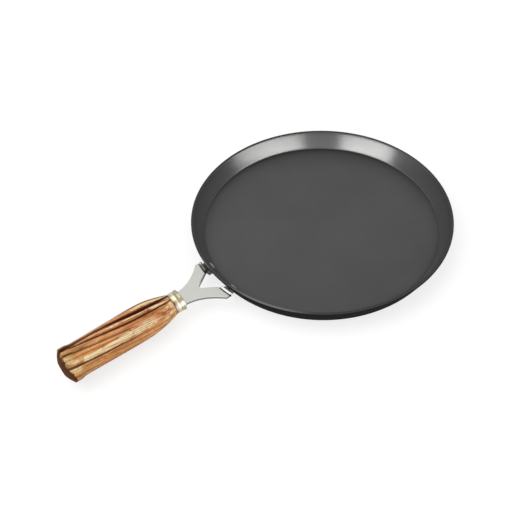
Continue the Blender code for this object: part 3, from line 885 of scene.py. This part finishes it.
# Painted shade on the pad towards +Y, and a painted highlight on the pad towards -Y
shaded_pad = y.between(0.0, 0.004) * (1.0 - y.between(0.0210, 0.0225)) * on_pads
painted_pad_highlight = (1.0 - y.between(-0.004, 0.0)) * on_pads
inner_line = (x + (pad_face + fork_inside)) * np.tan(fork_slope)
from_edge = (y - inner_line) * np.cos(fork_slope)
# Painted shade along the inner edge of the arm towards +Y
painted_inner_edge_shade = (1.0 - from_edge.between(0.0005, 0.0016)) * y.between(0.003, 0.006)
tone = satin.mix(painted_edge_shade * 0.85, satin.tone, paint(112, 111, 106))
tone = satin.mix(painted_inner_edge_shade * 0.75, tone, paint(96, 94, 88))
tone = satin.mix(painted_pad_highlight * 0.8, tone, paint(252, 252, 250))
tone = satin.mix(shaded_pad * 0.9, tone, paint(92, 90, 86))
satin.set(Base_Color=satin.mix(painted_bend_shade * 0.95, tone, paint(30, 29, 27)))
dress(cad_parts["fork_bracket"], satin)

# %% [markdown]
# The collar's plating is painted olive, as painted reflection of dark surroundings, except for
# bands with a painted highlight where the polished tone shows. Brown painted reflection of the wood
# lies beside the wood, and painted shade near the flange. Finishes on separate sets of faces would
# meet in hard lines, so one finish is mixed by the numbers that its surface carries. The rivets'
# formed ends are made paler than their heads in the same way, as painted light.

# %% The collar and the small steel pieces
# The olive is painted reflection, and the painted highlight shows the polished tone
painted_highlight_mix = polished.number("rubbed") * 0.9 + polished.cloud * 0.2
tone = polished.mix(painted_highlight_mix, paint(158, 150, 118), polished.tone)
# Brown painted reflection of the wood, and painted shade near the flange
polished.set(Base_Color=polished.mix(polished.number("smudge") * 0.85, tone, paint(104, 78, 44)))
dress(collar, polished)
# Painted light: the formed ends are paler than the heads
formed_tone = rivet_steel.mix(rivet_steel.number("behind"), rivet_steel.tone, paint(226, 226, 222))
rivet_steel.set(Base_Color=formed_tone)
for rivet in rivets:
    dress(rivet, rivet_steel)
for name in ("tie_screw", "washer"):
    dress(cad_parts[name], zinc)

# %% [markdown]
# ## Wood
# The grip is an open-grained hardwood. Its fibres run along it and follow the carved twist. A
# picture of wood could be wrapped round it, but the grain is drawn with noise instead, in the
# coordinates that were straightened along the hollows when the surface was made: so it runs with
# the carving and has no seam. The hollows are dark, the ridges between them are worn pale with some
# painted highlights and painted light, and the rear end has painted shade in a plain dark brown.

# %% The wood's grain
wood = Finish("carved_wood", Metallic=0.0, Specular_IOR_Level=0.05)
fibre_place = wood.vector("fibre")
cream, gold, olive = wood.split(wood.vector("wear"))
broad = wood.noise(fibre_place, (14, 110, 110), 3.0, 0.5)
streak = wood.noise(fibre_place, (36, 620, 620), 4.0, 0.6)
blotch = wood.noise(fibre_place, (140, 240, 240), 3.0, 0.6)
speck = wood.noise(fibre_place, (330, 620, 620), 2.0, 0.6)
vein = wood.noise(fibre_place, (22, 900, 900), 2.0, 0.5)
pore = wood.noise(fibre_place, (150, 2400, 2400), 2.0, 0.5)
flake = wood.noise(fibre_place, (760, 260, 260), 2.0, 0.6)
ground = wood.node("ShaderNodeValToRGB", {"stops": [
    (0.36, paint(128, 66, 32)), (0.45, paint(196, 125, 78)),
    (0.54, paint(232, 168, 114)), (0.64, paint(255, 218, 172)),
]}, {"Fac": broad * 0.30 + streak * 0.50 + blotch * 0.20})
print("the wood's grain is mixed from seven noises")

# %% The wood's worn patches, painted light and shade, and dark hollows
# Tints, worn patches and patches of painted light come first, then the cream of worn ridges and
# painted highlights with ragged edges, then veins and pores over all, and last the dark colour in
# the hollows and the painted shade on the end
rear_tint = 1.0 - wood.number("to_neck").between(0.02, 0.30)
ground = wood.mix(rear_tint * 0.45 + olive * 0.5, ground, paint(178, 148, 88))
# The gold includes painted light on the lower side
ground = wood.mix(gold * (0.55 + 0.4 * streak), ground, paint(244, 178, 110))
mottle = (speck * 0.6 + flake * 0.4).between(0.50, 0.62)
ground = wood.mix(mottle * 0.35, ground, paint(136, 88, 46))
broken = (blotch * 0.35 + speck * 0.3 + flake * 0.35 - 0.5) * cream.between(0.0, 0.3) * 3.0
ragged = (cream * 1.2 + broken).between(0.30, 0.90)
# The cream includes painted highlights
ground = wood.mix(ragged * (0.84 + 0.16 * streak), ground, paint(255, 230, 182))
ground = wood.mix(vein.between(0.54, 0.68) * 0.6, ground, paint(118, 62, 32))
ground = wood.mix(pore.between(0.60, 0.72) * 0.4, ground, paint(98, 54, 28))
in_hollow = wood.number("groove").between(0.0, 0.76) * 0.97
darkened = wood.mix(in_hollow, ground, paint(58, 15, 2))
# Painted shade: the rounded rear end is a plain dark brown
edge_of_end_shade = wood.number("past_end") + (blotch - 0.5) * 0.005
wood.set(
    Base_Color=wood.mix(edge_of_end_shade.between(0.0003, 0.0014), darkened, paint(86, 46, 14)),
    Roughness=0.40 + 0.16 * streak,
    Normal=wood.bump(streak * 0.6 + pore * 0.4, 0.25, 0.0004),
)
dress(grip, wood)

# %% [markdown]
# ## Camera
# The camera stands where the photograph's stood. It could be moved about by eye until the outlines
# agree. Instead its place was worked out: the ellipse of the rim, the wall's depth and the handle's
# length give its distance, its height and its small tilt.

# %% The camera
turned_by = np.radians(34.2)
roll = np.radians(-4.70)
film_width = 36.0
picture_width, focal_length = 512, 635.3


def from_view(right, away, up=0.0):
    """A place given along the picture's right and away from the camera, turned to the pan's own
    axes."""
    c, s = np.cos(turned_by), np.sin(turned_by)
    return np.array([right * c + away * s, -right * s + away * c, up])


rim_middle = np.array([0, 0, rim_height])
eye = rim_middle + from_view(-0.0678, -0.4550, 0.4468)
target = rim_middle + from_view(-0.0678, -0.0545)
back = (eye - target) / np.linalg.norm(eye - target)
level = from_view(1, 0)
right = level * np.cos(roll) + np.cross(back, level) * np.sin(roll)
upward = np.cross(back, right)
lens = bpy.data.cameras.new("photo_view")
lens.sensor_width = film_width
lens.lens = focal_length / picture_width * film_width
lens.clip_start = 0.01
camera = bpy.data.objects.new("photo_view", lens)
bpy.context.scene.collection.objects.link(camera)
camera.matrix_world = Matrix((*zip(right, upward, back, eye), (0, 0, 0, 1)))
bpy.context.scene.camera = camera
print("camera", np.round(eye * 1000, 1), "mm, lens", round(lens.lens, 2))

# %% [markdown]
# ## Floor and light
# A white floor, a pale room and soft lamps. More light could make the floor white, but it would
# bleach the pan too. So the floor and the room are plain to light that falls on the pan, and white
# only to the camera and to rays that a shiny or clear surface sends on. The floor then reads as
# white and still takes the pan's shadow. One large lamp hangs above and to the left, and a fill
# for matt surfaces stands low in front. Two low strips are seen only in what shines: they are the
# bright bands in the pan's wall.

# %% The floor
floor_half, floor_height = 4, -0.0002
floor_grey, floor_glow = 0.36, 0.73


def seen(nodes):
    """1 for rays from the camera, off shiny surfaces and through clear ones, and 0 for others."""
    direct, shiny, clear = (
        nodes.node("ShaderNodeLightPath", output=f"Is {kind} Ray")
        for kind in ("Camera", "Glossy", "Transmission")
    )
    return direct + shiny + clear


floor_corners = [
    (side * floor_half, end * floor_half, floor_height)
    for side, end in ((-1, -1), (1, -1), (1, 1), (-1, 1))
]
floor_mesh = bpy.data.meshes.new("floor")
floor_mesh.from_pydata(floor_corners, [], [(0, 1, 2, 3)])
floor = bpy.data.objects.new("floor", floor_mesh)
bpy.context.scene.collection.objects.link(floor)
white = Finish("white_floor", Roughness=0.9, Specular_IOR_Level=0.0)
white.set(Base_Color=(floor_grey, floor_grey, floor_grey, 1.0))
white.set(Emission_Color=(1.0, 1.0, 1.0, 1.0), Emission_Strength=seen(white) * floor_glow)
dress(floor, white)

# %% The room
room_light = 0.55
world = bpy.data.worlds.new("room")
bpy.context.scene.world = world
world.use_nodes = True
room = Nodes(world.node_tree)
background = room.tree.nodes["Background"]
room.plug(background.inputs["Color"], (1.0, 1.0, 1.0, 1.0))
strength = room.node("ShaderNodeMix", None, {0: seen(room), 2: room_light, 3: 1.0})
room.plug(background.inputs["Strength"], strength)
print("the room lights the pan at", room_light, "and is seen at 1.0")

# %% The lamps
near_grip = (-0.05, 0.0, 0.02)
over_pan = (0.0, 0.0, 0.05)


def lamp(name, place, aim, size, watts, in_matt=True, in_gloss=True):
    """A rectangular soft lamp that faces a point. It can leave out matt surfaces or glossy ones."""
    light = bpy.data.lights.new(name, "AREA")
    light.shape = "RECTANGLE"
    light.size, light.size_y = size
    light.energy = watts
    holder = bpy.data.objects.new(name, light)
    bpy.context.scene.collection.objects.link(holder)
    holder.location = place
    holder.visible_camera = False
    holder.visible_diffuse = in_matt
    holder.visible_glossy = in_gloss
    holder.rotation_euler = (Vector(place) - Vector(aim)).to_track_quat("Z", "Y").to_euler()
    print(name, np.round(place, 2), watts, "W")


lamp("overhead", from_view(-0.70, 0.05, 1.15), near_grip, (1.2, 1.2), 7.0)
lamp("fill", from_view(0.40, -1.20, 0.35), near_grip, (1.2, 0.5), 5.3, in_gloss=False)
lamp("low_right", from_view(0.655, -0.737, 0.155), over_pan, (1.27, 0.18), 5.5, in_matt=False)
lamp("low_left", from_view(-0.814, -0.704, 0.155), over_pan, (0.95, 0.18), 5.25, in_matt=False)
bpy.context.scene.view_settings.view_transform = "Standard"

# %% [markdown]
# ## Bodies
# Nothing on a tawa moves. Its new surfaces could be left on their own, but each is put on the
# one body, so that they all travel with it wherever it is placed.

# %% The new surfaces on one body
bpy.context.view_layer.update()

for piece in [pan, collar, grip] + rivets:
    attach(piece, "root")
